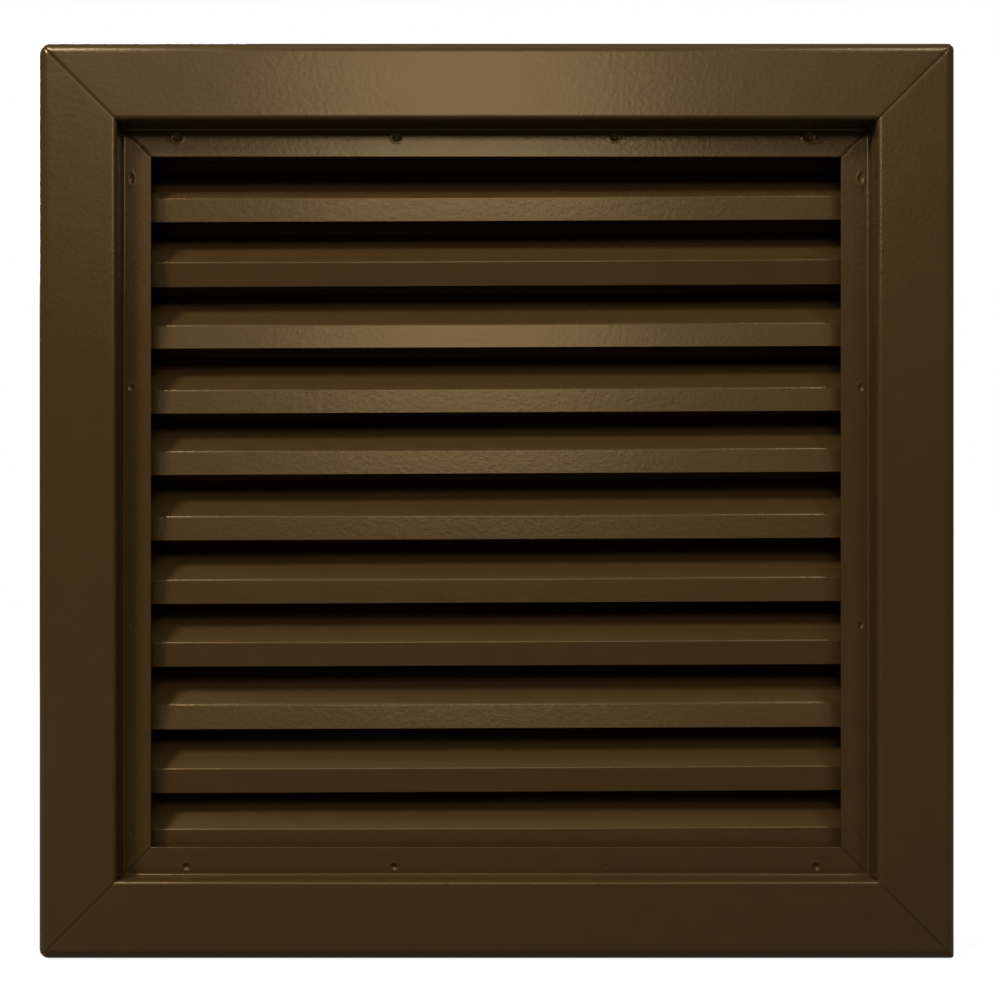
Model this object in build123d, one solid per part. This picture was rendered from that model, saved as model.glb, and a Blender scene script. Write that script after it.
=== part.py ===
from build123d import *
import math
import os

# A sight-proof door louver in painted sheet steel, in millimetres. X runs across the louver, Y through
# the door from front to back, Z up. The origin is the middle of the cut-out, midway through the door.

# The door
CUTOUT_WIDTH = 304.8
CUTOUT_HEIGHT = 304.8
DOOR_THICKNESS = 44.45
CUTOUT_CLEARANCE = 4.29

# Front and rear frames, each folded from one gauge of sheet and mitred
FRAME_GAUGE = 1.21
FACE_COVER = 25.4
FACE_STANDOFF = 9.525
THROAT_DEPTH = 9.525
SEAT_WIDTH = 11.0
EDGE_BEND = 5.0
RIM_BEND = 1.6
SEAT_BEND = 0.8
MITRE_GAP = 0.25

# Corners of the frames, dressed by hand after welding, so no two are alike
TOP_LEFT_CORNER = 4.6
TOP_RIGHT_CORNER = 3.0
BOTTOM_LEFT_CORNER = 3.8
BOTTOM_RIGHT_CORNER = 1.4

# Core channels, whose legs point inwards behind the seats of the frames
CORE_GAUGE = 1.21
CORE_LEG = 10.0
CORE_BEND = 1.0

# Spot welds that dent the front seat
WELDS_PER_SIDE = 4
WELD_END_INSET = 20.9
WELD_LINE = 7.7
WELD_RADIUS = 2.2
WELD_DEPTH = 0.3

# Inverted-Y blades, each folded from one sheet with a closed hem along its top
BLADE_GAUGE = 0.91
BLADE_PITCH = 25.4
BLADE_LIP = 9.525
BLADE_SLOPE = 45.0
BLADE_STEM = 5.0
CREASE_BEND = 1.3
STEM_BEND = 1.0
LIP_SETBACK = 3.175
ROW_OFFSET = -1.2
ROW_CLEARANCE = 0.8

# Pan-head machine screws that draw the rear frame up to the core
SCREW_SHANK_RADIUS = 1.75
SCREW_LENGTH = 9.525
SCREW_HEAD_RADIUS = 3.3
SCREW_HEAD_TOP_RADIUS = 2.5
SCREW_HEAD_HEIGHT = 2.2
SCREW_LINE = 6.1
SCREW_BELOW_LIP = 5.4
SCREW_HOLE_CLEARANCE = 0.35
SCREW_PILOT_CLEARANCE = 0.05

# Room left around a cutting tool where it leaves the sheet
TOOL_MARGIN = 2.0

# Distances outwards from the centre are given for half the width and half the height
core_reach_x = CUTOUT_WIDTH / 2 - CUTOUT_CLEARANCE
core_reach_z = CUTOUT_HEIGHT / 2 - CUTOUT_CLEARANCE
frame_reach_x = CUTOUT_WIDTH / 2 + FACE_COVER
frame_reach_z = CUTOUT_HEIGHT / 2 + FACE_COVER

# The throat wall is as wide outside as the core behind it
frame_band = CUTOUT_CLEARANCE + FACE_COVER + FRAME_GAUGE + SEAT_WIDTH
throat_band = CUTOUT_CLEARANCE + FACE_COVER + FRAME_GAUGE

# Planes across the door, as distances from its middle
face_plane = DOOR_THICKNESS / 2 + FACE_STANDOFF
seat_plane = face_plane - THROAT_DEPTH
core_plane = seat_plane - FRAME_GAUGE
leg_plane = core_plane - CORE_GAUGE
lip_plane = leg_plane - LIP_SETBACK
frame_depth = 2 * face_plane + 2 * TOOL_MARGIN

# Blade section, from the bottom of its lips. The stem is two thicknesses, folded flat at the hem.
slope_per_run = math.tan(math.radians(BLADE_SLOPE))
crease_turn = math.radians(90 - BLADE_SLOPE)
slope_rise = (lip_plane - BLADE_GAUGE) * slope_per_run
stem_foot = BLADE_LIP + slope_rise
blade_height = stem_foot + BLADE_STEM

# Rows of blades between the webs of the sill and head channels
clear_half = core_reach_z - CORE_GAUGE - ROW_CLEARANCE
lowest_row = math.ceil((-clear_half - ROW_OFFSET) / BLADE_PITCH - 0.5)
highest_row = math.floor((clear_half - blade_height - ROW_OFFSET) / BLADE_PITCH - 0.5)
blade_bottoms = [(row + 0.5) * BLADE_PITCH + ROW_OFFSET for row in range(highest_row, lowest_row - 1, -1)]

# Sides of the louver in the order in which quarter turns about Y carry a head member round to them
SIDES = ("head", "right", "sill", "left")


def is_level(side):
    """True for the head and the sill, which run across the louver."""
    return side in ("head", "sill")


def turned(side, member):
    """A member made for the head, carried round to its side."""
    return Rot(0, 90 * SIDES.index(side), 0) * member


def folded_section(outline, bends, gauge):
    """Section of a folded sheet in the YZ plane, with the sheet to the right of its outer line."""
    line = FilletPolyline(*outline, radius=bends)
    return Plane.YZ * make_face(offset(line, gauge, side=Side.RIGHT))


def mitred(section, reach, half_span, band):
    """A head member: the section run across X and cut at 45 degrees at both ends."""
    trim = MITRE_GAP / math.sqrt(2)
    top = reach + TOOL_MARGIN
    top_half = half_span + TOOL_MARGIN - trim
    bottom = reach - band - TOOL_MARGIN
    bottom_half = half_span - band - TOOL_MARGIN - trim
    keep = Plane.XZ * make_face(
        Polyline(
            (-top_half, top),
            (top_half, top),
            (bottom_half, bottom),
            (-bottom_half, bottom),
            close=True,
        )
    )
    return extrude(section, half_span, both=True) & extrude(keep, frame_depth / 2, both=True)


def frame_section(reach):
    """Frame section, from the free edge of the seat over the face to the edge that bears on the door."""
    throat = reach - throat_band
    outline = [
        (-seat_plane, reach - frame_band),
        (-seat_plane, throat),
        (-face_plane, throat),
        (-face_plane, reach),
        (-DOOR_THICKNESS / 2, reach),
    ]
    return folded_section(outline, [SEAT_BEND, RIM_BEND, EDGE_BEND], FRAME_GAUGE)


def core_section(reach):
    """Channel section, from the free edge of the front leg round the web to that of the rear leg."""
    outline = [
        (-core_plane, reach - CORE_LEG),
        (-core_plane, reach),
        (core_plane, reach),
        (core_plane, reach - CORE_LEG),
    ]
    outer_bend = CORE_BEND + CORE_GAUGE
    return folded_section(outline, [outer_bend, outer_bend], CORE_GAUGE)


def blade_section():
    """Inverted Y: the outline over the lips, slopes and hem, less the hollow between its two legs."""
    hem_foot = blade_height - BLADE_GAUGE
    front = FilletPolyline(
        (-lip_plane, 0),
        (-lip_plane, BLADE_LIP),
        (-BLADE_GAUGE, stem_foot),
        (-BLADE_GAUGE, hem_foot),
        radius=[CREASE_BEND, STEM_BEND],
    )
    hem = ThreePointArc((-BLADE_GAUGE, hem_foot), (0, blade_height), (BLADE_GAUGE, hem_foot))
    foot = Line((-lip_plane, 0), (lip_plane, 0))
    outside = make_face([front, hem, mirror(front, Plane.YZ), foot])
    inner_plane = lip_plane - BLADE_GAUGE
    inner_crease = BLADE_LIP - BLADE_GAUGE * math.tan(crease_turn / 2)
    inner_bend = max(CREASE_BEND - BLADE_GAUGE, 0)
    hollow = FilletPolyline(
        (-inner_plane, 0),
        (-inner_plane, inner_crease),
        (0, inner_crease + inner_plane * slope_per_run),
        (inner_plane, inner_crease),
        (inner_plane, 0),
        radius=[inner_bend, 0, inner_bend],
    )
    mouth = Line((-inner_plane, 0), (inner_plane, 0))
    return Plane.YZ * (outside - make_face([hollow, mouth]))


def corner_tools():
    """Cutters that round the four corners of a frame, seen from the front."""
    radii = {
        (-1, 1): TOP_LEFT_CORNER,
        (1, 1): TOP_RIGHT_CORNER,
        (-1, -1): BOTTOM_LEFT_CORNER,
        (1, -1): BOTTOM_RIGHT_CORNER,
    }
    tools = []
    for (side_x, side_z), radius in radii.items():
        centre = Pos(side_x * (frame_reach_x - radius), 0, side_z * (frame_reach_z - radius))
        size = radius + TOOL_MARGIN
        block = Pos(side_x * size / 2, 0, side_z * size / 2) * Box(size, frame_depth, size)
        round_bar = Rot(90, 0, 0) * Cylinder(radius, frame_depth + TOOL_MARGIN)
        tools.append(centre * (block - round_bar))
    return tools


def weld_places(half_span):
    """Places of the spot welds along one side, spread evenly from end to end."""
    last = half_span - throat_band - WELD_END_INSET
    step = 2 * last / (WELDS_PER_SIDE - 1)
    return [-last + step * index for index in range(WELDS_PER_SIDE)]


def weld_dents(reach, half_span):
    """Round-ended punches that dent the front seat of a head member at its spot welds."""
    ball_radius = (WELD_RADIUS**2 + WELD_DEPTH**2) / (2 * WELD_DEPTH)
    ball_y = -seat_plane - ball_radius + WELD_DEPTH
    punch = Sphere(ball_radius) & Rot(90, 0, 0) * Cylinder(WELD_RADIUS + WELD_DEPTH, 2 * ball_radius)
    line = reach - frame_band + WELD_LINE
    return [Pos(x, ball_y, line) * punch for x in weld_places(half_span)]


def screw_places(side):
    """Places of the screws along one side, turned as that side is turned from the head.

    Only the left and right sides have screws, each just below the lip of the first and last free blades.
    """
    if is_level(side):
        return []
    heights = [blade_bottoms[0] - SCREW_BELOW_LIP, blade_bottoms[-2] - SCREW_BELOW_LIP]
    sign = -1 if side == "right" else 1
    return [sign * height for height in heights]


def screw_holes(side, reach, radius):
    """Bars that drill the screw holes of one side through the rear seat and the channel leg behind it."""
    line = reach - frame_band + SCREW_LINE
    bar = Rot(90, 0, 0) * Cylinder(radius, 2 * (seat_plane - leg_plane))
    return [Pos(x, (seat_plane + leg_plane) / 2, line) * bar for x in screw_places(side)]


def screw():
    """Pan-head screw on the Y axis, its head seated on Y = 0 and its flat end towards -Y."""
    outline = Polyline(
        (0, SCREW_HEAD_HEIGHT),
        (SCREW_HEAD_TOP_RADIUS, SCREW_HEAD_HEIGHT),
        (SCREW_HEAD_RADIUS, 0),
        (SCREW_SHANK_RADIUS, 0),
        (SCREW_SHANK_RADIUS, -SCREW_LENGTH),
        (0, -SCREW_LENGTH),
        close=True,
    )
    return revolve(make_face(outline), Axis.Y)


def side_sizes(side, reach_x, reach_z):
    """Reach outwards and half span along one side of a four-sided frame."""
    return (reach_z, reach_x) if is_level(side) else (reach_x, reach_z)


def front_frame_member(side):
    """One member of the front frame, dented by its spot welds."""
    reach, half_span = side_sizes(side, frame_reach_x, frame_reach_z)
    member = mitred(frame_section(reach), reach, half_span, frame_band) - weld_dents(reach, half_span)
    return turned(side, member) - corner_tools()


def rear_frame_member(side):
    """One member of the rear frame: the front section turned to face backwards, drilled for its screws."""
    reach, half_span = side_sizes(side, frame_reach_x, frame_reach_z)
    member = mirror(mitred(frame_section(reach), reach, half_span, frame_band), Plane.XZ)
    holes = screw_holes(side, reach, SCREW_SHANK_RADIUS + SCREW_HOLE_CLEARANCE)
    return turned(side, member - holes) - corner_tools()


def core_member(side):
    """One channel of the core, with pilot holes in its rear leg."""
    reach, half_span = side_sizes(side, core_reach_x, core_reach_z)
    member = mitred(core_section(reach), reach, half_span, CORE_LEG)
    frame_reach = reach + CUTOUT_CLEARANCE + FACE_COVER
    holes = screw_holes(side, frame_reach, SCREW_SHANK_RADIUS + SCREW_PILOT_CLEARANCE)
    return turned(side, member - holes)


def blade():
    """One blade with the bottom of its lips on Z = 0. Its ends meet the webs of the side channels."""
    return extrude(blade_section(), core_reach_x - CORE_GAUGE, both=True)


def rear_frame_screws():
    """All the screws of the rear frame, as separate solids."""
    shape = screw()
    placed = []
    for side in SIDES:
        reach, _ = side_sizes(side, frame_reach_x, frame_reach_z)
        line = reach - frame_band + SCREW_LINE
        for x in screw_places(side):
            placed.append(turned(side, Pos(x, seat_plane, line) * shape))
    return Compound(children=placed)


def louver():
    """Every piece of the louver in its place, by name."""
    pieces = {}
    for side in SIDES:
        pieces[f"front_frame_{side}"] = front_frame_member(side)
        pieces[f"core_{side}"] = core_member(side)
        pieces[f"rear_frame_{side}"] = rear_frame_member(side)
    shape = blade()
    for number, bottom in enumerate(blade_bottoms, start=1):
        pieces[f"blade_{number:02d}"] = Pos(0, 0, bottom) * shape
    pieces["rear_frame_screws"] = rear_frame_screws()
    return pieces


os.makedirs("parts", exist_ok=True)
for name, piece in louver().items():
    export_step(piece, f"parts/{name}.step")
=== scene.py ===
import logging
import math
from dataclasses import dataclass
from enum import Enum

import bpy
import numpy as np
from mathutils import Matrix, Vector


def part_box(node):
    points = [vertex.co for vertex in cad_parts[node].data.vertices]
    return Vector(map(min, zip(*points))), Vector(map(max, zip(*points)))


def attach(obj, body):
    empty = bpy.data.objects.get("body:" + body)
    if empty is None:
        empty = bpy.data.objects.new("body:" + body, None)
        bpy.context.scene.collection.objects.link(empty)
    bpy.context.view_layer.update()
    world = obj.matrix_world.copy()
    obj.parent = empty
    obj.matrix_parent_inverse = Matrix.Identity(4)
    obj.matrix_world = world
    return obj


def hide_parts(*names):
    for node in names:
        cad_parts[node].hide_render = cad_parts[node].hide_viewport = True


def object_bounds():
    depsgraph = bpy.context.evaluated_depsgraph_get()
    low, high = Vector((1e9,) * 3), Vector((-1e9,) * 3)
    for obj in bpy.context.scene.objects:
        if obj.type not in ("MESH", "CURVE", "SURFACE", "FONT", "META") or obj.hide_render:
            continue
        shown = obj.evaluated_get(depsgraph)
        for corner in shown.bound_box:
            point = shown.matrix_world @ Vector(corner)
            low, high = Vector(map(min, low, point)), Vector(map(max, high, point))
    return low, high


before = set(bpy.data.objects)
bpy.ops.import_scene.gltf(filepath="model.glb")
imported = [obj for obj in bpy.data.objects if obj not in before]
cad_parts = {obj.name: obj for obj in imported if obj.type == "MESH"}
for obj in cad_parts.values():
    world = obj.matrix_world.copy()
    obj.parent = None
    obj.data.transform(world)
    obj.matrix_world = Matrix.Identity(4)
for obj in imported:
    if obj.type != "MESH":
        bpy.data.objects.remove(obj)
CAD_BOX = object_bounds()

# A door louver in dark bronze powder coat. X runs across the louver, Y from its front to its back and Z up.
# Sizes are in millimetres until a mesh is made, which is in metres.
MM = 0.001
BODY = "root"
log = logging.getLogger("door_louver")


class Side(Enum):
    """Sides of a four-sided frame, by the quarter turns that carry a head member round to them."""

    HEAD = 0
    RIGHT = 1
    SILL = 2
    LEFT = 3

    @property
    def label(self) -> str:
        """The side's name as the nodes have it."""
        return self.name.lower()

    def place(self, along: np.ndarray, depth: np.ndarray, out: np.ndarray) -> np.ndarray:
        """Points of a member, turned about Y from the head to this side.

        Args:
            along: Distance along the member from its middle.
            depth: Distance from the middle of the door, towards the back.
            out: Distance outwards from the louver's centre.

        Returns:
            The points as an array whose last axis is X, Y and Z.
        """
        cosine = (1, 0, -1, 0)[self.value]
        sine = (0, 1, 0, -1)[self.value]
        return np.stack([along * cosine + out * sine, depth, out * cosine - along * sine], axis=-1)


class Slot(Enum):
    """Material slots of the record."""

    FRAME = "frame_paint"
    CORE = "core_paint"
    BLADE = "blade_paint"
    SCREW = "screw_paint"


def corner(node: str) -> tuple[np.ndarray, np.ndarray]:
    """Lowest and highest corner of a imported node, in millimetres."""
    low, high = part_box(node)
    return np.array(low) / MM, np.array(high) / MM


def to_right(heading: np.ndarray) -> np.ndarray:
    """Unit vectors to the right of the headings, which are angles in the plane of a section."""
    return np.stack([np.sin(heading), -np.cos(heading)], axis=-1)


def run_shares(steps: int, length: float, margin: float) -> np.ndarray:
    """Shares of a straight run: even steps that stop a margin from either end, and the ends themselves."""
    edge = min(margin / length, 0.3)
    return np.concatenate([[0.0], np.linspace(edge, 1 - edge, steps), [1.0]])


def fold_line(corners: np.ndarray, bends: list[float], steps: list[int], arc_steps: int = 8,
              margin: float = 0.25) -> tuple[np.ndarray, np.ndarray]:
    """Line of a folded section: straight runs joined by arcs that touch them.

    On an arc the heading goes evenly from one run's to the next's, and the point lies one bend radius from
    the arc's centre, at right angles to the heading. The centre is one radius to the side of the turn.

    Args:
        corners: Sharp corners of the section, from one free edge to the other.
        bends: Radius at each inner corner.
        steps: Points along each straight run.
        arc_steps: Parts that each arc is divided into.
        margin: Distance of a run's second point from its end.

    Returns:
        The points, and the unit normals to the right of the line.
    """
    leaps = np.diff(corners, axis=0)
    headings = np.unwrap(np.arctan2(leaps[:, 1], leaps[:, 0]))
    tangents = np.zeros(len(corners))
    tangents[1:-1] = np.array(bends) * np.tan(np.abs(np.diff(headings)) / 2)
    points: list[np.ndarray] = []
    angles: list[np.ndarray] = []
    for run, heading in enumerate(headings):
        ahead = np.array([math.cos(heading), math.sin(heading)])
        first = corners[run] + ahead * tangents[run]
        last = corners[run + 1] - ahead * tangents[run + 1]
        shares = run_shares(steps[run], float(np.linalg.norm(last - first)), margin)
        points.append(first + shares[:, None] * (last - first))
        angles.append(np.full(len(shares), heading))
        if run + 1 < len(headings):
            arc = np.linspace(heading, headings[run + 1], arc_steps + 1)[1:-1]
            reach = bends[run] * -np.sign(headings[run + 1] - heading)
            centre = last + reach * to_right(np.array(heading))
            points.append(centre - reach * to_right(arc))
            angles.append(arc)
    return np.concatenate(points), to_right(np.concatenate(angles))


def tube_quads(stations: int, ring: int) -> np.ndarray:
    """Quads of a closed ring carried from station to station, with point numbers station by station."""
    row, spot = np.meshgrid(np.arange(stations - 1), np.arange(ring), indexing="ij")
    following = (spot + 1) % ring
    near, far = row * ring, (row + 1) * ring
    return np.stack([near + spot, near + following, far + following, far + spot], axis=-1).reshape(-1, 4)


def end_quads(ring: int, first: int) -> np.ndarray:
    """Quads that close one end of a folded bar, between its outer line and the inner one across from it."""
    spot = np.arange(ring // 2 - 1)
    return first + np.stack([spot, ring - 1 - spot, ring - 2 - spot, spot + 1], axis=-1)


def outward(points: np.ndarray, quads: np.ndarray) -> np.ndarray:
    """Quads that face outwards: those of a closed surface, turned over if its signed volume is negative."""
    a, b, c, d = (points[quads[:, spot]] for spot in range(4))
    volume = np.einsum("ij,ij->i", a, np.cross(b, c) + np.cross(c, d)).sum()
    return quads if volume > 0 else quads[:, ::-1]


def add_piece(name: str, points: np.ndarray, faces: np.ndarray, slot: Slot,
              *nodes: str) -> bpy.types.Object:
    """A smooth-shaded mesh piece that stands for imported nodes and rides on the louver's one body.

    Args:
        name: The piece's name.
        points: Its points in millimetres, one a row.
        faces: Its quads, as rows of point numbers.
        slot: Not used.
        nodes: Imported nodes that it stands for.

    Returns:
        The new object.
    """
    mesh = bpy.data.meshes.new(name)
    mesh.from_pydata((points * MM).tolist(), [], faces.tolist())
    mesh.polygons.foreach_set("use_smooth", np.ones(len(mesh.polygons), dtype=bool))
    mesh.update()
    piece = bpy.data.objects.new(name, mesh)
    bpy.context.scene.collection.objects.link(piece)
    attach(piece, BODY)
    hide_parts(*nodes)
    return piece


def soften_edges(piece: bpy.types.Object, width: float, above: float = 38.0) -> None:
    """Rounds the cut edges of a sheet, as its coat of paint does.

    Args:
        piece: The piece.
        width: Width of the rounding, in millimetres.
        above: Least angle of an edge that is rounded, in degrees.
    """
    bevel = piece.modifiers.new("painted_edges", "BEVEL")
    bevel.width = width * MM
    bevel.segments = 2
    bevel.limit_method = "ANGLE"
    bevel.angle_limit = math.radians(above)
    bevel.harden_normals = True


@dataclass(frozen=True)
class PowderCoat:
    """A satin powder coat: a fine orange peel, a mottle of its colour and roughness, and an even sheen.

    Attributes:
        name: The material's name.
        colour: Base colour, linear.
        roughness: Mean roughness.
        sheen_level: Specular level of the coat.
        sheen_tint: Colour of its highlights.
        peel: Height of the orange peel in millimetres.
        mottle: Share by which the colour varies.
    """

    name: str
    colour: tuple[float, float, float]
    roughness: float
    sheen_level: float
    sheen_tint: tuple[float, float, float]
    peel: float
    mottle: float

    GROUP = "powder_coat_grain"
    CLOUDS_PER_METRE = 95.0
    CELLS_PER_METRE = 500.0
    SPECKS_PER_METRE = 2300.0
    SPECK_TONE = 0.8
    SPECK_HEIGHT = 0.35
    CLOUD_ROUGHNESS = 0.014

    @classmethod
    def grain_group(cls) -> bpy.types.NodeTree:
        """The shared node group of the coat's colour, roughness and height, built once.

        Returns:
            A group that mixes three sizes of noise on the piece's own coordinates: clouds of a centimetre
            for the mottle, cells of two millimetres for the orange peel and fine specks for the grain.
        """
        if cls.GROUP in bpy.data.node_groups:
            return bpy.data.node_groups[cls.GROUP]
        group = bpy.data.node_groups.new(cls.GROUP, "ShaderNodeTree")
        sockets = group.interface
        sockets.new_socket("Vector", in_out="INPUT", socket_type="NodeSocketVector")
        sockets.new_socket("Colour", in_out="INPUT", socket_type="NodeSocketColor")
        sockets.new_socket("Roughness", in_out="INPUT", socket_type="NodeSocketFloat")
        sockets.new_socket("Mottle", in_out="INPUT", socket_type="NodeSocketFloat")
        sockets.new_socket("Colour", in_out="OUTPUT", socket_type="NodeSocketColor")
        sockets.new_socket("Roughness", in_out="OUTPUT", socket_type="NodeSocketFloat")
        sockets.new_socket("Height", in_out="OUTPUT", socket_type="NodeSocketFloat")
        nodes, links = group.nodes, group.links
        given = nodes.new("NodeGroupInput")
        result = nodes.new("NodeGroupOutput")

        def noise(scale: float, detail: float) -> bpy.types.NodeSocket:
            """A noise of that many cells to the metre, about one half."""
            texture = nodes.new("ShaderNodeTexNoise")
            texture.inputs["Scale"].default_value = scale
            texture.inputs["Detail"].default_value = detail
            links.new(given.outputs["Vector"], texture.inputs["Vector"])
            return texture.outputs["Fac"]

        def spread(source: bpy.types.NodeSocket, low: float, high: float) -> bpy.types.NodeSocket:
            """The middle half of a noise, spread from low to high."""
            stretch = nodes.new("ShaderNodeMapRange")
            stretch.inputs["From Min"].default_value = 0.25
            stretch.inputs["From Max"].default_value = 0.75
            stretch.inputs["To Min"].default_value = low
            stretch.inputs["To Max"].default_value = high
            links.new(source, stretch.inputs["Value"])
            return stretch.outputs["Result"]

        def maths(operation: str, *values: bpy.types.NodeSocket | float) -> bpy.types.NodeSocket:
            """A sum, product or multiply-add of sockets and numbers."""
            node = nodes.new("ShaderNodeMath")
            node.operation = operation
            for index, value in enumerate(values):
                if isinstance(value, bpy.types.NodeSocket):
                    links.new(value, node.inputs[index])
                else:
                    node.inputs[index].default_value = value
            return node.outputs["Value"]

        clouds = spread(noise(cls.CLOUDS_PER_METRE, 4.0), -1.0, 1.0)
        peel = noise(cls.CELLS_PER_METRE, 2.0)
        specks = noise(cls.SPECKS_PER_METRE, 1.0)
        grain = maths("ADD", clouds, spread(specks, -cls.SPECK_TONE, cls.SPECK_TONE))
        share = maths("MULTIPLY_ADD", grain, given.outputs["Mottle"], 1.0)
        tone = nodes.new("ShaderNodeVectorMath")
        tone.operation = "SCALE"
        links.new(given.outputs["Colour"], tone.inputs[0])
        links.new(share, tone.inputs["Scale"])
        links.new(tone.outputs["Vector"], result.inputs["Colour"])
        rough = maths("MULTIPLY_ADD", clouds, cls.CLOUD_ROUGHNESS, given.outputs["Roughness"])
        links.new(rough, result.inputs["Roughness"])
        links.new(maths("MULTIPLY_ADD", specks, cls.SPECK_HEIGHT, peel), result.inputs["Height"])
        return group

    def build(self) -> bpy.types.Material:
        """The material, with the shared grain on the piece's own coordinates."""
        material = bpy.data.materials.new(self.name)
        material.use_nodes = True
        nodes, links = material.node_tree.nodes, material.node_tree.links
        shader = nodes["Principled BSDF"]
        shader.inputs["Specular IOR Level"].default_value = self.sheen_level
        shader.inputs["Specular Tint"].default_value = (*self.sheen_tint, 1.0)
        place = nodes.new("ShaderNodeTexCoord")
        grain = nodes.new("ShaderNodeGroup")
        grain.node_tree = self.grain_group()
        grain.inputs["Colour"].default_value = (*self.colour, 1.0)
        grain.inputs["Roughness"].default_value = self.roughness
        grain.inputs["Mottle"].default_value = self.mottle
        bump = nodes.new("ShaderNodeBump")
        bump.inputs["Distance"].default_value = self.peel * MM
        links.new(place.outputs["Object"], grain.inputs["Vector"])
        links.new(grain.outputs["Colour"], shader.inputs["Base Color"])
        links.new(grain.outputs["Roughness"], shader.inputs["Roughness"])
        links.new(grain.outputs["Height"], bump.inputs["Height"])
        links.new(bump.outputs["Normal"], shader.inputs["Normal"])
        return material


BRONZE = (0.0475, 0.0250, 0.0078)
WARM_SHEEN = (1.0, 0.68, 0.34)
FRAME_COAT = PowderCoat("frame_powder_coat", BRONZE, 0.25, 0.32, WARM_SHEEN, 0.070, 0.045)
CORE_COAT = PowderCoat("core_powder_coat", BRONZE, 0.38, 0.20, WARM_SHEEN, 0.050, 0.035)
BLADE_COAT = PowderCoat("blade_powder_coat", BRONZE, 0.25, 0.32, WARM_SHEEN, 0.060, 0.045)
SCREW_COAT = PowderCoat("screw_powder_coat", (0.034, 0.018, 0.006), 0.38, 0.30, WARM_SHEEN, 0.012, 0.050)


@dataclass(frozen=True)
class Dent:
    """A spot weld's dent in a seat: a pit with a low rim pushed up round it.

    Attributes:
        along: Place along the member.
        out: Place outwards.
        radius: Radius of the pit.
        stretch: Length of the pit along the member, as a share of its width.
        depth: Depth of the pit.
    """

    along: float
    out: float
    radius: float
    stretch: float
    depth: float

    RIM_PLACE = 1.15
    RIM_WIDTH = 0.22
    RIM_SHARE = 0.2

    def press(self, along: np.ndarray, out: np.ndarray) -> np.ndarray:
        """How far the dent pushes each point of the seat back.

        With q the distance from the middle in pit radii, the pit is (1 - q^2)^2 inside q = 1, and the rim
        is a bell curve just outside it that stands up by a share of the depth.

        Args:
            along: Places of the points along the member.
            out: Their distances outwards.

        Returns:
            The depth added to each point.
        """
        q = np.hypot((along - self.along) / (self.radius * self.stretch), (out - self.out) / self.radius)
        pit = np.clip(1 - q**2, 0, None) ** 2
        rim = np.exp(-(((q - self.RIM_PLACE) / self.RIM_WIDTH) ** 2))
        return self.depth * (pit - self.RIM_SHARE * rim)


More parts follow.
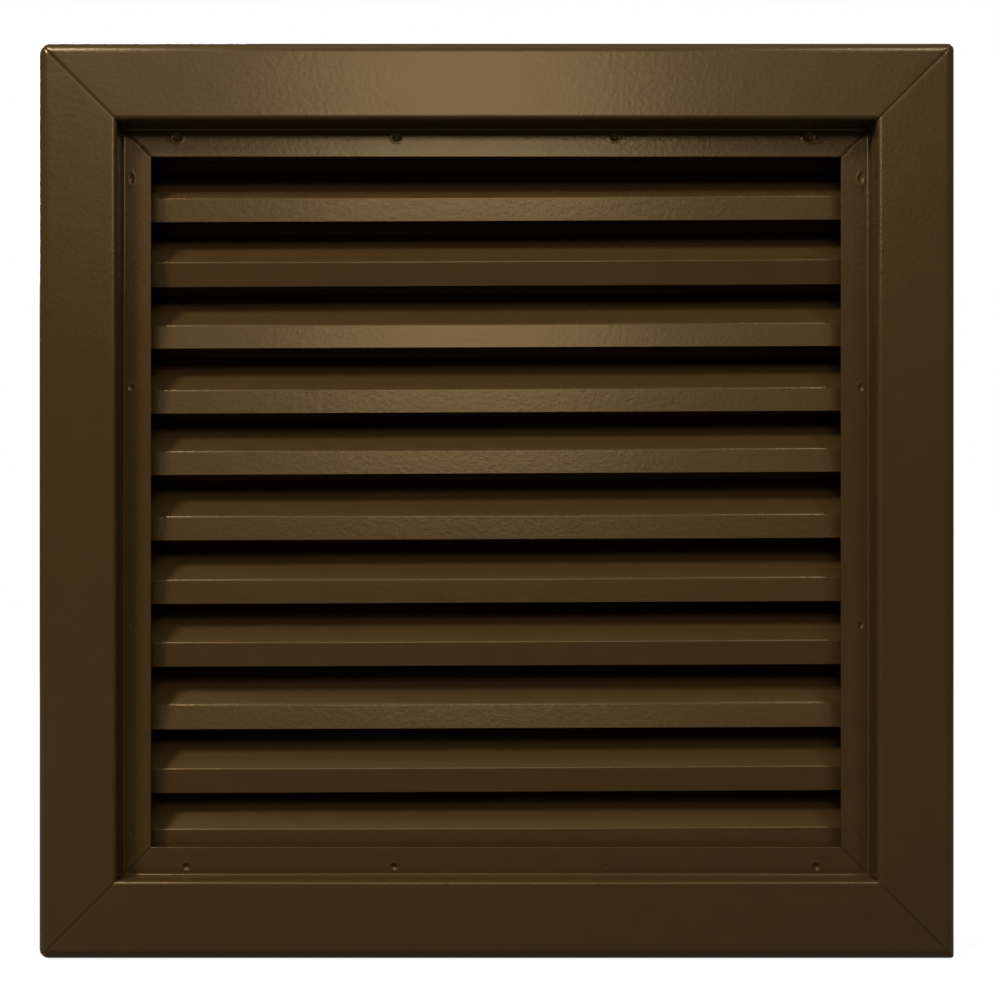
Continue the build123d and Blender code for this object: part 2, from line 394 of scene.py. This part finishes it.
@dataclass
class FoldedMember:
    """One side of a mitred frame of folded sheet.

    Attributes:
        name: The piece's name, which is also its node's.
        side: Where it goes.
        line: Points of the outer line of its section, as depth and distance outwards.
        normals: Unit normals from the outer line into the sheet.
        gauge: Thickness of the sheet.
        reach: Distance outwards of its outer edge.
        half_span: Half its length along the outer edge.
        stations: Places along it, from -1 to 1.
        dents: Weld dents on its outer line.
        corner_radii: Radius of the outer corner at the low and high end along it.
        seams: Depth by which the welded mitre has sunk at the low and high end along it.
    """

    name: str
    side: Side
    line: np.ndarray
    normals: np.ndarray
    gauge: float
    reach: float
    half_span: float
    stations: np.ndarray
    dents: tuple[Dent, ...] = ()
    corner_radii: tuple[float, float] = (0.0, 0.0)
    seams: tuple[float, float] = (0.0, 0.0)

    SEAM_WIDTH = 0.8
    EDGE_ROUNDING = 0.40

    def points(self) -> np.ndarray:
        """Points of the member, station by station.

        The section's ring is its outer line and, back again, the same line moved through the sheet. At each
        distance outwards the ring's points run along the member to a mitre at 45 degrees, so a station is a
        share of a length that grows with the distance outwards. A seam is a bell curve of depth about a
        mitre, which wavers along it as a sum of two sines.

        Returns:
            An array of stations by ring points by along, depth and out.
        """
        ring = np.concatenate([self.line, (self.line + self.normals * self.gauge)[::-1]])
        depth, out = ring[:, 0], ring[:, 1]
        ends = self.half_span - (self.reach - out)
        along = self.stations[:, None] * ends[None, :]
        outs = np.broadcast_to(out, along.shape)
        depths = np.broadcast_to(depth, along.shape).copy()
        front = slice(0, len(self.line))
        for dent in self.dents:
            depths[:, front] += dent.press(along[:, front], outs[:, front])
        waver = 0.7 + 0.2 * np.sin(1.1 * out) + 0.1 * np.sin(2.7 * out + 1.0)
        for end, sink in zip((-1, 1), self.seams):
            from_mitre = ends[None, :] - end * along
            bell = sink * waver[None, :] * np.exp(-((from_mitre / self.SEAM_WIDTH) ** 2))
            depths[:, front] += bell[:, front]
        along, outs = self.round_corners(along, outs)
        return np.stack([along, depths, outs], axis=-1)

    def round_corners(self, along: np.ndarray, outs: np.ndarray) -> tuple[np.ndarray, np.ndarray]:
        """Rounds the outer corners: a square of one radius at each corner is drawn in to a quarter disc.

        A point in that square keeps its direction from the square's inner corner, and its larger coordinate
        becomes its distance.

        Args:
            along: Places along the member.
            outs: Distances outwards.

        Returns:
            The same two arrays, rounded.
        """
        along, outs = along.copy(), outs.copy()
        for end, radius in zip((-1, 1), self.corner_radii):
            a = end * along - (self.half_span - radius)
            b = outs - (self.reach - radius)
            inside = (a > 0) & (b > 0)
            share = np.where(inside, np.maximum(a, b) / np.where(inside, np.hypot(a, b), 1), 1)
            along = np.where(inside, end * (self.half_span - radius + a * share), along)
            outs = np.where(inside, self.reach - radius + b * share, outs)
        return along, outs

    def build(self, slot: Slot) -> bpy.types.Object:
        """The member's closed mesh, in its place."""
        grid = self.points()
        count, ring = grid.shape[:2]
        points = self.side.place(grid[..., 0], grid[..., 1], grid[..., 2]).reshape(-1, 3)
        first, last = end_quads(ring, 0), end_quads(ring, (count - 1) * ring)
        quads = np.concatenate([tube_quads(count, ring), first, last[:, ::-1]])
        piece = add_piece(self.name, points, outward(points, quads), slot, self.name)
        soften_edges(piece, self.EDGE_ROUNDING)
        return piece


def even_stations(parts: int) -> np.ndarray:
    """Stations spread evenly from -1 to 1."""
    return np.linspace(-1, 1, parts + 1)


def crowded_stations(parts: int, places: list[float], span: float, half_width: float,
                     step: float) -> np.ndarray:
    """Even stations with close rows of them about some places and at both ends.

    Args:
        parts: Even parts from end to end.
        places: Places about which they crowd.
        span: Half length that -1 and 1 stand for.
        half_width: How far each crowd reaches.
        step: Distance between its stations.

    Returns:
        Sorted stations from -1 to 1.
    """
    offsets = np.arange(-half_width, half_width + step / 2, step)
    crowds = (np.array([-span, *places, span])[:, None] + offsets[None, :]).ravel() / span
    crowds = crowds[np.abs(crowds) < 1 - 0.5 * step / span]
    even = even_stations(parts)[1:-1]
    lonely = np.abs(even[:, None] - crowds[None, :]).min(axis=1) > step / span
    return np.sort(np.concatenate([[-1.0, 1.0], even[lonely], crowds]))


@dataclass
class FrameSheet:
    """Sizes of a frame's folded section that its box doesn't give. Paint closes its mitres to a fine seam.

    Attributes:
        gauge: Thickness of the sheet.
        seat_width: Width of the seat, from the throat wall to its free edge.
        throat_depth: Depth of the seat behind the face.
        standoff: Depth of the outer edge, from the face to the door.
        seat_spring: How far the seat's free edge has sprung forwards.
        edge_bend: Outer radius of the rolled outer edge.
        rim_bend: Outer radius between the face and the throat wall.
        seat_bend: Inner radius between the throat wall and the seat.
        corners: Radii of the outer corners, clockwise from the top left.
        seams: Depths of the sunken mitres, in the same order.
        weld_line: Distance of the welds from the seat's free edge.
        weld_inset: Distance of the last welds from the ends of the throat.
    """

    gauge: float = 1.21
    seat_width: float = 11.0
    throat_depth: float = 9.525
    standoff: float = 9.525
    seat_spring: float = 0.3
    edge_bend: float = 5.0
    rim_bend: float = 1.6
    seat_bend: float = 0.8
    corners: tuple[float, float, float, float] = (4.6, 3.0, 1.4, 3.8)
    seams: tuple[float, float, float, float] = (0.26, 0.20, 0.05, 0.14)
    weld_line: float = 7.7
    weld_inset: float = 20.9

    def corner_pair(self, side: Side) -> tuple[float, float]:
        """Corner radii at the low and high end along a side; corners go clockwise from the top left."""
        return self.corners[side.value], self.corners[(side.value + 1) % 4]

    def seam_pair(self, side: Side) -> tuple[float, float]:
        """Depths of the mitre seams at the low and high end along a side, in the order of the corners."""
        return self.seams[side.value], self.seams[(side.value + 1) % 4]

    def line(self, reach: float, band: float, face: float,
             seat_steps: int) -> tuple[np.ndarray, np.ndarray]:
        """Outer line of the front frame's section, from the seat's free edge to the outer edge at the door.

        Args:
            reach: Distance outwards of the outer edge.
            band: Width of the whole frame.
            face: Depth of the face.
            seat_steps: Points across the seat.

        Returns:
            The line's points and its normals into the sheet.
        """
        seat = face + self.throat_depth
        throat = reach - band + self.seat_width
        edge = face + self.standoff
        free_edge = (seat - self.seat_spring, reach - band)
        corners = np.array([free_edge, (seat, throat), (face, throat), (face, reach), (edge, reach)])
        bends = [self.seat_bend, self.rim_bend, self.edge_bend]
        return fold_line(corners, bends, [seat_steps, 3, 6, 3], 10)


@dataclass(frozen=True)
class WeldMark:
    """How one spot weld's dent differs from the others.

    Attributes:
        offset: How far it is along the member from its even place.
        radius: Radius of the pit.
        stretch: Length of the pit along the member, as a share of its width.
        depth: Depth of the pit.
    """

    offset: float
    radius: float
    stretch: float
    depth: float


@dataclass
class FrontFrame:
    """The four mitred members that show on the door's front, with the core's spot welds in their seats."""

    sheet: FrameSheet

    WELDS = {
        Side.HEAD: (WeldMark(0.4, 1.9, 1.1, 0.60), WeldMark(2.9, 1.8, 1.15, 0.55),
                    WeldMark(4.7, 1.6, 1.2, 0.50), WeldMark(-2.8, 2.0, 1.1, 0.60)),
        Side.RIGHT: (WeldMark(-1.4, 1.2, 2.0, 0.50), WeldMark(-3.2, 1.2, 1.4, 0.45),
                     WeldMark(6.4, 1.3, 1.1, 0.48), WeldMark(4.3, 1.2, 1.0, 0.16)),
        Side.SILL: (WeldMark(-0.1, 1.5, 1.3, 0.62), WeldMark(-1.1, 1.2, 1.0, 0.10),
                    WeldMark(-2.1, 1.4, 1.4, 0.58), WeldMark(-4.3, 1.5, 1.3, 0.66)),
        Side.LEFT: (WeldMark(-4.3, 1.2, 1.0, 0.20), WeldMark(-6.4, 1.2, 1.1, 0.22),
                    WeldMark(3.2, 1.3, 1.1, 0.48), WeldMark(1.4, 1.1, 2.2, 0.52)),
    }
    SEAT_STEPS = 30
    PARTS = 48
    CROWD = 3.6
    STEP = 0.36

    def dents(self, side: Side, reach: float, half_span: float, band: float) -> tuple[Dent, ...]:
        """The weld dents of one side, each a little off its even place between the ends.

        Args:
            side: The side.
            reach: Distance outwards of its outer edge.
            half_span: Half its length along that edge.
            band: Its width.

        Returns:
            The dents, from the low end along the member.
        """
        line = reach - band + self.sheet.weld_line
        last = half_span - band + self.sheet.seat_width - self.sheet.weld_inset
        marks = self.WELDS[side]
        places = np.linspace(-last, last, len(marks))
        return tuple(
            Dent(float(place) + mark.offset, line, mark.radius, mark.stretch, mark.depth)
            for place, mark in zip(places, marks)
        )

    def build(self) -> list[bpy.types.Object]:
        """The four members."""
        made = []
        for side in Side:
            name = f"front_frame_{side.label}"
            reach, half_span, band, face = frame_extents(name, side)
            line, normals = self.sheet.line(reach, band, face, self.SEAT_STEPS)
            dents = self.dents(side, reach, half_span, band)
            span = half_span - band + self.sheet.weld_line
            places = [dent.along for dent in dents]
            stations = crowded_stations(self.PARTS, places, span, self.CROWD, self.STEP)
            member = FoldedMember(name, side, line, normals, self.sheet.gauge, reach, half_span, stations,
                                  dents, self.sheet.corner_pair(side), self.sheet.seam_pair(side))
            made.append(member.build(Slot.FRAME))
        return made


def frame_extents(node: str, side: Side) -> tuple[float, float, float, float]:
    """Sizes of a frame member that its node and the louver's box give.

    Args:
        node: A front frame member.
        side: Its side.

    Returns:
        Its reach outwards, half span, width inwards from its reach, and the depth of its face.
    """
    low, high = corner(node)
    half_x, _, half_z = np.array(CAD_BOX[1]) / MM
    level = side in (Side.HEAD, Side.SILL)
    reach, half_span = (half_z, half_x) if level else (half_x, half_z)
    band = (high - low)[2 if level else 0]
    return reach, half_span, band, low[1]


@dataclass
class RearFrame:
    """The four mitred members behind the door: the front frame's section, turned to face backwards."""

    sheet: FrameSheet

    SEAT_STEPS = 6
    PARTS = 24
    CROWD = 5.0
    STEP = 0.6

    def build(self) -> list[bpy.types.Object]:
        """The four members."""
        made = []
        for side in Side:
            reach, half_span, band, face = frame_extents(f"front_frame_{side.label}", side)
            line, normals = self.sheet.line(reach, band, face, self.SEAT_STEPS)
            turned = np.array([-1.0, 1.0])
            stations = crowded_stations(self.PARTS, [], half_span, self.CROWD, self.STEP)
            member = FoldedMember(f"rear_frame_{side.label}", side, line * turned, normals * turned,
                                  self.sheet.gauge, reach, half_span, stations, (),
                                  self.sheet.corner_pair(side))
            made.append(member.build(Slot.FRAME))
        return made


@dataclass
class Core:
    """The four mitred channels that line the cut-out, with their legs pointing inwards behind the seats.

    Attributes:
        gauge: Thickness of the sheet.
        bend: Outer radius between a web and its legs.
    """

    gauge: float = 1.21
    bend: float = 2.21

    PARTS = 24

    def build(self) -> list[bpy.types.Object]:
        """The four channels."""
        made = []
        half_width = abs(corner("core_left")[0][0])
        half_height = abs(corner("core_head")[1][2])
        for side in Side:
            name = f"core_{side.label}"
            low, high = corner(name)
            axis, half_span = (2, half_width) if side in (Side.HEAD, Side.SILL) else (0, half_height)
            reach = max(abs(low[axis]), abs(high[axis]))
            leg = (high - low)[axis]
            front, back = low[1], high[1]
            corners = np.array([(front, reach - leg), (front, reach), (back, reach), (back, reach - leg)])
            line, normals = fold_line(corners, [self.bend, self.bend], [4, 6, 4], 8)
            stations = even_stations(self.PARTS)
            member = FoldedMember(name, side, line, normals, self.gauge, reach, half_span, stations)
            made.append(member.build(Slot.CORE))
        return made


@dataclass
class Blades:
    """The fixed inverted-Y blades, each folded from one sheet, with a closed hem along the top.

    Attributes:
        gauge: Thickness of the sheet, a little less than half the hem.
        hem: Half the thickness of the hem.
        lip: Height of the lips.
        crease_bend: Outer radius between a lip and its slope.
        stem_bend: Radius at the foot of the stem.
        stem: Height of the stem.
        leans: Angle by which each front lip leans back, from the top blade down, in degrees.
        rises: Height of each blade over its node, from the top blade down.
        tilts: Rise of each blade from left to right, per thousand.
    """

    gauge: float = 0.88
    hem: float = 0.91
    lip: float = 9.525
    crease_bend: float = 1.3
    stem_bend: float = 1.0
    stem: float = 5.0
    leans: tuple[float, ...] = (0.0, -7.0, 6.5, 6.0, 7.5, 7.5, 6.5, 1.0, 14.0, -2.0, 0.0)
    rises: tuple[float, ...] = (-0.5, -0.6, -0.1, -0.6, 0.4, -0.4, -0.3, 0.0, 0.4, 0.4, 1.6)
    tilts: tuple[float, ...] = (4.0, 4.5, 4.0, 4.5, 5.0, 4.0, 4.5, 4.0, 4.0, 4.5, 3.5)

    PARTS = 60
    EDGE_ROUNDING = 0.10

    def section(self, lip_plane: float, height: float) -> np.ndarray:
        """Outer line of the inverted Y, from the front lip's edge over the hem to the rear lip's edge.

        Args:
            lip_plane: Distance of the lips from the middle of the door.
            height: Height of the blade.

        Returns:
            The line's points, as depth and height over the lips' edges.
        """
        hem_foot = height - self.hem
        stem_foot = height - self.stem
        lip = [(-lip_plane, 0), (-lip_plane, self.lip)]
        stem = [(-self.hem, stem_foot), (-self.hem, hem_foot)]
        front, _ = fold_line(np.array(lip + stem), [self.crease_bend, self.stem_bend], [5, 8, 2], 8)
        turn = np.linspace(math.pi, 0, 11)[1:-1]
        hem = np.stack([self.hem * np.cos(turn), hem_foot + self.hem * np.sin(turn)], axis=-1)
        return np.concatenate([front, hem, (front * np.array([-1, 1]))[::-1]])

    def sheet(self, number: int) -> tuple[np.ndarray, np.ndarray]:
        """Outer surface of one blade.

        The section is carried along X. A front lip leans about its crease or its edge, whichever keeps it
        behind the seat, and the slope behind it follows. The blade's height rises evenly to the right.

        Args:
            number: The blade's number, from 1 at the top.

        Returns:
            Points and quads.
        """
        low, high = corner(f"blade_{number:02d}")
        half_length, height, lip_plane = high[0], high[2] - low[2], high[1]
        line = self.section(lip_plane, height)
        lean = self.lip * math.tan(math.radians(self.leans[number - 1]))
        knots = [0, self.lip, height - self.stem]
        back = np.interp(line[:, 1], knots, [max(-lean, 0), max(lean, 0), 0])
        depth = line[:, 0] + np.where(line[:, 0] < 0, back, 0)
        along = half_length * even_stations(self.PARTS)
        lift = low[2] + self.rises[number - 1] + along * self.tilts[number - 1] / 1000
        x, y = np.meshgrid(along, depth)
        points = np.stack([x, y, line[:, 1][:, None] + lift[None, :]], axis=-1).reshape(-1, 3)
        rows, columns = x.shape
        row, column = np.meshgrid(np.arange(rows - 1), np.arange(columns - 1), indexing="ij")
        spot = (row * columns + column).ravel()
        return points, np.stack([spot, spot + 1, spot + columns + 1, spot + columns], axis=-1)

    def build(self) -> list[bpy.types.Object]:
        """All the blades, each given its thickness inwards from its outer surface."""
        made = []
        for number in range(1, len(self.leans) + 1):
            name = f"blade_{number:02d}"
            points, quads = self.sheet(number)
            piece = add_piece(name, points, quads, Slot.BLADE, name)
            wall = piece.modifiers.new("sheet", "SOLIDIFY")
            wall.thickness = self.gauge * MM
            wall.offset = -1
            wall.use_even_offset = True
            soften_edges(piece, self.EDGE_ROUNDING)
            made.append(piece)
        return made


@dataclass
class Screws:
    """The pan-head machine screws of the rear frame, with a cross recess and a rolled thread.

    Attributes:
        head_radius: Radius of the head.
        head_height: Height of the head in its middle.
        dome_share: Radius of the head's domed top, as a share of the head's.
        dome_fall: How far the dome falls to its rim.
        shank_radius: Radius of the shank over the thread.
        length: Length under the head.
        plain_length: Length under the head that has no thread.
        plain_end: Length at the end that has no thread.
        thread_pitch: Pitch of the thread.
        thread_depth: Depth of the thread.
        recess_half_width: Half the width of the cross's arms.
        recess_reach: Length of the arms from the middle.
        recess_depth: Depth of the cross.
        recess_flank: Width over which the arms' sides slope.
        recess_toe: Length over which the arms' ends slope.
        turns: Points round a screw.
    """

    head_radius: float = 3.3
    head_height: float = 2.2
    dome_share: float = 0.78
    dome_fall: float = 0.25
    shank_radius: float = 1.75
    length: float = 9.525
    plain_length: float = 2.6
    plain_end: float = 0.5
    thread_pitch: float = 0.79
    thread_depth: float = 0.28
    recess_half_width: float = 0.42
    recess_reach: float = 1.75
    recess_depth: float = 1.1
    recess_flank: float = 0.12
    recess_toe: float = 0.25
    turns: int = 64

    AXIS_GAP = 0.02

    def profile(self) -> np.ndarray:
        """Radius and height along a screw's outline, from the middle of its head to its flat end.

        The head's top is a low dome, and its side a quarter round that meets the seat.

        Returns:
            The outline's points, as radius and height.
        """
        dome = np.linspace(self.AXIS_GAP, 1, 16) * self.dome_share * self.head_radius
        top = self.head_height - self.dome_fall * (dome / dome[-1]) ** 2
        turn = np.linspace(0, math.pi / 2, 9)[1:]
        side_radius = dome[-1] + (self.head_radius - dome[-1]) * np.sin(turn)
        side = top[-1] * np.cos(turn)
        shank = np.linspace(0, -self.length, 97)
        return np.concatenate([
            np.stack([dome, top], axis=-1),
            np.stack([side_radius, side], axis=-1),
            np.stack([np.full(len(shank), self.shank_radius), shank], axis=-1),
            [(self.AXIS_GAP, -self.length)],
        ])

    def surface(self) -> tuple[np.ndarray, np.ndarray]:
        """One screw about the Y axis, its head seated on Y = 0.

        The outline turns about the axis. The recess sinks the dome where the point lies in either arm of a
        cross, with steep sides. The thread is a sine of the height in pitches plus the share of a turn.

        Returns:
            Points and quads.
        """
        outline = self.profile()
        angle = np.linspace(0, 2 * math.pi, self.turns, endpoint=False)
        radius = np.repeat(outline[:, :1], self.turns, axis=1)
        height = np.repeat(outline[:, 1:], self.turns, axis=1)
        x, z = radius * np.cos(angle), radius * np.sin(angle)
        narrow, far = np.minimum(np.abs(x), np.abs(z)), np.maximum(np.abs(x), np.abs(z))
        arm = np.clip((self.recess_half_width - narrow) / self.recess_flank + 0.5, 0, 1)
        arm *= np.clip((self.recess_reach - far) / self.recess_toe + 0.5, 0, 1)
        height = np.where(height > 0.5 * self.head_height, height - arm * self.recess_depth, height)
        wave = 0.5 + 0.5 * np.sin(2 * math.pi * height / self.thread_pitch + angle)
        threaded = (height < -self.plain_length) & (height > self.plain_end - self.length)
        radius = np.where(threaded, radius - self.thread_depth * (1 - wave), radius)
        points = np.stack([radius * np.cos(angle), height, radius * np.sin(angle)], axis=-1).reshape(-1, 3)
        return points, tube_quads(len(outline), self.turns)

    def build(self) -> list[bpy.types.Object]:
        """All the screws as one piece, each in the place of one of the node's solids."""
        low, high = corner("rear_frame_screws")
        seat = high[1] - self.head_height
        points, quads = self.surface()
        quads = outward(points, quads)
        places = [(x, z) for x in (low[0] + self.head_radius, high[0] - self.head_radius)
                  for z in (low[2] + self.head_radius, high[2] - self.head_radius)]
        shifted = np.concatenate([points + np.array([x, seat, z]) for x, z in places])
        numbered = np.concatenate([quads + index * len(points) for index in range(len(places))])
        return [add_piece("rear_frame_screws", shifted, numbered, Slot.SCREW, "rear_frame_screws")]


@dataclass(frozen=True)
class SoftBox:
    """A rectangular studio lamp.

    Attributes:
        name: The lamp's name.
        centre: Its place, in metres.
        size: Its width and height, in metres.
        power: Its power, in watts.
        aim: The point that it faces, in metres.
    """

    name: str
    centre: tuple[float, float, float]
    size: tuple[float, float]
    power: float
    aim: tuple[float, float, float] = (0.0, 0.0, 0.0)

    def build(self) -> bpy.types.Object:
        """The lamp, turned to face its aim."""
        lamp = bpy.data.lights.new(self.name, "AREA")
        lamp.shape = "RECTANGLE"
        lamp.size, lamp.size_y = self.size
        lamp.energy = self.power
        placed = bpy.data.objects.new(self.name, lamp)
        placed.location = self.centre
        placed.rotation_euler = (Vector(self.aim) - Vector(self.centre)).to_track_quat("-Z", "Y").to_euler()
        bpy.context.scene.collection.objects.link(placed)
        return placed


@dataclass
class Studio:
    """The white studio: lamps, camera, floor and background, in metres.

    Attributes:
        camera_place: Where the camera stands.
        lens: Focal length, in millimetres.
        sensor: Width of the camera's sensor, in millimetres.
        shift: Shift of the picture, in widths of the sensor.
        ambient: Strength of the even light.
        gloss_share: Share of the white background that glossy rays see.
        lamps: The lamps.
        floor_size: Length of the floor's sides.
        floor_colour: Grey level of the floor.
        floor_gap: Distance of the floor under the louver.
        glow_reach: Distances from the louver between which the floor's glow rises.
        glow_levels: The glow at those distances.
    """

    camera_place: tuple[float, float, float] = (-0.015, -0.46675, -0.035)
    lens: float = 40.63
    sensor: float = 36.0
    shift: tuple[float, float] = (0.042, 0.091)
    ambient: float = 0.005
    gloss_share: float = 0.12
    lamps: tuple[SoftBox, ...] = (
        SoftBox("key_lamp", (-0.005, -0.83, 0.50), (0.36, 0.27), 2.1),
        SoftBox("left_lamp", (-0.66, -0.72, 1.00), (0.26, 0.30), 16.2),
        SoftBox("right_lamp", (0.60, -0.74, 1.02), (0.26, 0.30), 3.8),
        SoftBox("front_lamp", (0.0, -1.70, 1.00), (1.6, 0.8), 5.4),
        SoftBox("top_lamp", (0.0, -0.30, 1.15), (0.8, 0.4), 0.8),
        SoftBox("back_lamp", (-0.70, 1.10, 0.75), (0.7, 0.7), 16.0),
    )
    floor_size: float = 8.0
    floor_colour: float = 0.15
    floor_gap: float = 0.0002
    glow_reach: tuple[float, float] = (0.25, 0.9)
    glow_levels: tuple[float, float] = (0.93, 1.0)

    def seen_share(self, tree: bpy.types.NodeTree) -> bpy.types.NodeSocket:
        """How much of the background a ray shows: all for camera and transmission rays, less for gloss.

        Args:
            tree: The node tree that the nodes go into.

        Returns:
            The socket that gives the share.
        """
        path = tree.nodes.new("ShaderNodeLightPath")
        glossy = tree.nodes.new("ShaderNodeMath")
        glossy.operation = "MULTIPLY"
        glossy.inputs[1].default_value = self.gloss_share
        tree.links.new(path.outputs["Is Glossy Ray"], glossy.inputs[0])
        share = path.outputs["Is Camera Ray"]
        for other in (glossy.outputs["Value"], path.outputs["Is Transmission Ray"]):
            either = tree.nodes.new("ShaderNodeMath")
            either.operation = "MAXIMUM"
            tree.links.new(share, either.inputs[0])
            tree.links.new(other, either.inputs[1])
            share = either.outputs["Value"]
        return share

    def build_world(self) -> None:
        """A white background for rays that see it, and weak even light for the rest."""
        world = bpy.data.worlds.new("studio")
        world.use_nodes = True
        tree = world.node_tree
        dim = tree.nodes["Background"]
        dim.inputs["Color"].default_value = (1.0, 1.0, 1.0, 1.0)
        dim.inputs["Strength"].default_value = self.ambient
        white = tree.nodes.new("ShaderNodeBackground")
        white.inputs["Color"].default_value = (1.0, 1.0, 1.0, 1.0)
        mixed = tree.nodes.new("ShaderNodeMixShader")
        tree.links.new(self.seen_share(tree), mixed.inputs["Fac"])
        tree.links.new(dim.outputs["Background"], mixed.inputs[1])
        tree.links.new(white.outputs["Background"], mixed.inputs[2])
        tree.links.new(mixed.outputs["Shader"], tree.nodes["World Output"].inputs["Surface"])
        bpy.context.scene.world = world

    def build_floor(self) -> None:
        """A pale floor under the louver, which takes its shadow and fades into the white background.

        The floor's own glow, for rays that see it, rises to white with the distance from the louver.
        """
        half, level = self.floor_size / 2, CAD_BOX[0].z - self.floor_gap
        mesh = bpy.data.meshes.new("floor")
        corners = [(-half, -half, level), (half, -half, level), (half, half, level), (-half, half, level)]
        mesh.from_pydata(corners, [], [(0, 1, 2, 3)])
        floor = bpy.data.objects.new("floor", mesh)
        bpy.context.scene.collection.objects.link(floor)
        material = bpy.data.materials.new("pale_floor")
        material.use_nodes = True
        tree = material.node_tree
        shader = tree.nodes["Principled BSDF"]
        shader.inputs["Base Color"].default_value = (self.floor_colour,) * 3 + (1.0,)
        shader.inputs["Roughness"].default_value = 0.9
        shader.inputs["Specular IOR Level"].default_value = 0.0
        shader.inputs["Emission Color"].default_value = (1.0, 1.0, 1.0, 1.0)
        place = tree.nodes.new("ShaderNodeTexCoord")
        distance = tree.nodes.new("ShaderNodeVectorMath")
        distance.operation = "LENGTH"
        glow = tree.nodes.new("ShaderNodeMapRange")
        glow.inputs["From Min"].default_value, glow.inputs["From Max"].default_value = self.glow_reach
        glow.inputs["To Min"].default_value, glow.inputs["To Max"].default_value = self.glow_levels
        strength = tree.nodes.new("ShaderNodeMath")
        strength.operation = "MULTIPLY"
        tree.links.new(place.outputs["Object"], distance.inputs[0])
        tree.links.new(distance.outputs["Value"], glow.inputs["Value"])
        tree.links.new(glow.outputs["Result"], strength.inputs[0])
        tree.links.new(self.seen_share(tree), strength.inputs[1])
        tree.links.new(strength.outputs["Value"], shader.inputs["Emission Strength"])
        mesh.materials.append(material)

    def build_camera(self) -> None:
        """The camera, level and facing the louver squarely from a little left of and below its middle."""
        camera = bpy.data.cameras.new("camera")
        camera.lens = self.lens
        camera.sensor_width = self.sensor
        camera.shift_x, camera.shift_y = self.shift
        placed = bpy.data.objects.new("camera", camera)
        placed.location = self.camera_place
        placed.rotation_euler = (math.pi / 2, 0.0, 0.0)
        bpy.context.scene.collection.objects.link(placed)
        bpy.context.scene.camera = placed

    def build(self) -> None:
        """The whole studio."""
        self.build_world()
        self.build_floor()
        self.build_camera()
        for lamp in self.lamps:
            lamp.build()
        bpy.context.scene.view_settings.view_transform = "Standard"


def dress(pieces: list[bpy.types.Object], coat: PowderCoat) -> None:
    """Gives pieces one coat, and reports them."""
    material = coat.build()
    for piece in pieces:
        piece.data.materials.append(material)
        log.info("%s: %d faces, %s", piece.name, len(piece.data.polygons), coat.name)


def main() -> None:
    """Builds the louver and its studio."""
    logging.basicConfig(level=logging.INFO, format="%(name)s: %(message)s")
    sheet = FrameSheet()
    dress(FrontFrame(sheet).build() + RearFrame(sheet).build(), FRAME_COAT)
    dress(Core().build(), CORE_COAT)
    dress(Blades().build(), BLADE_COAT)
    dress(Screws().build(), SCREW_COAT)
    Studio().build()


if __name__ == "__main__":
    main()
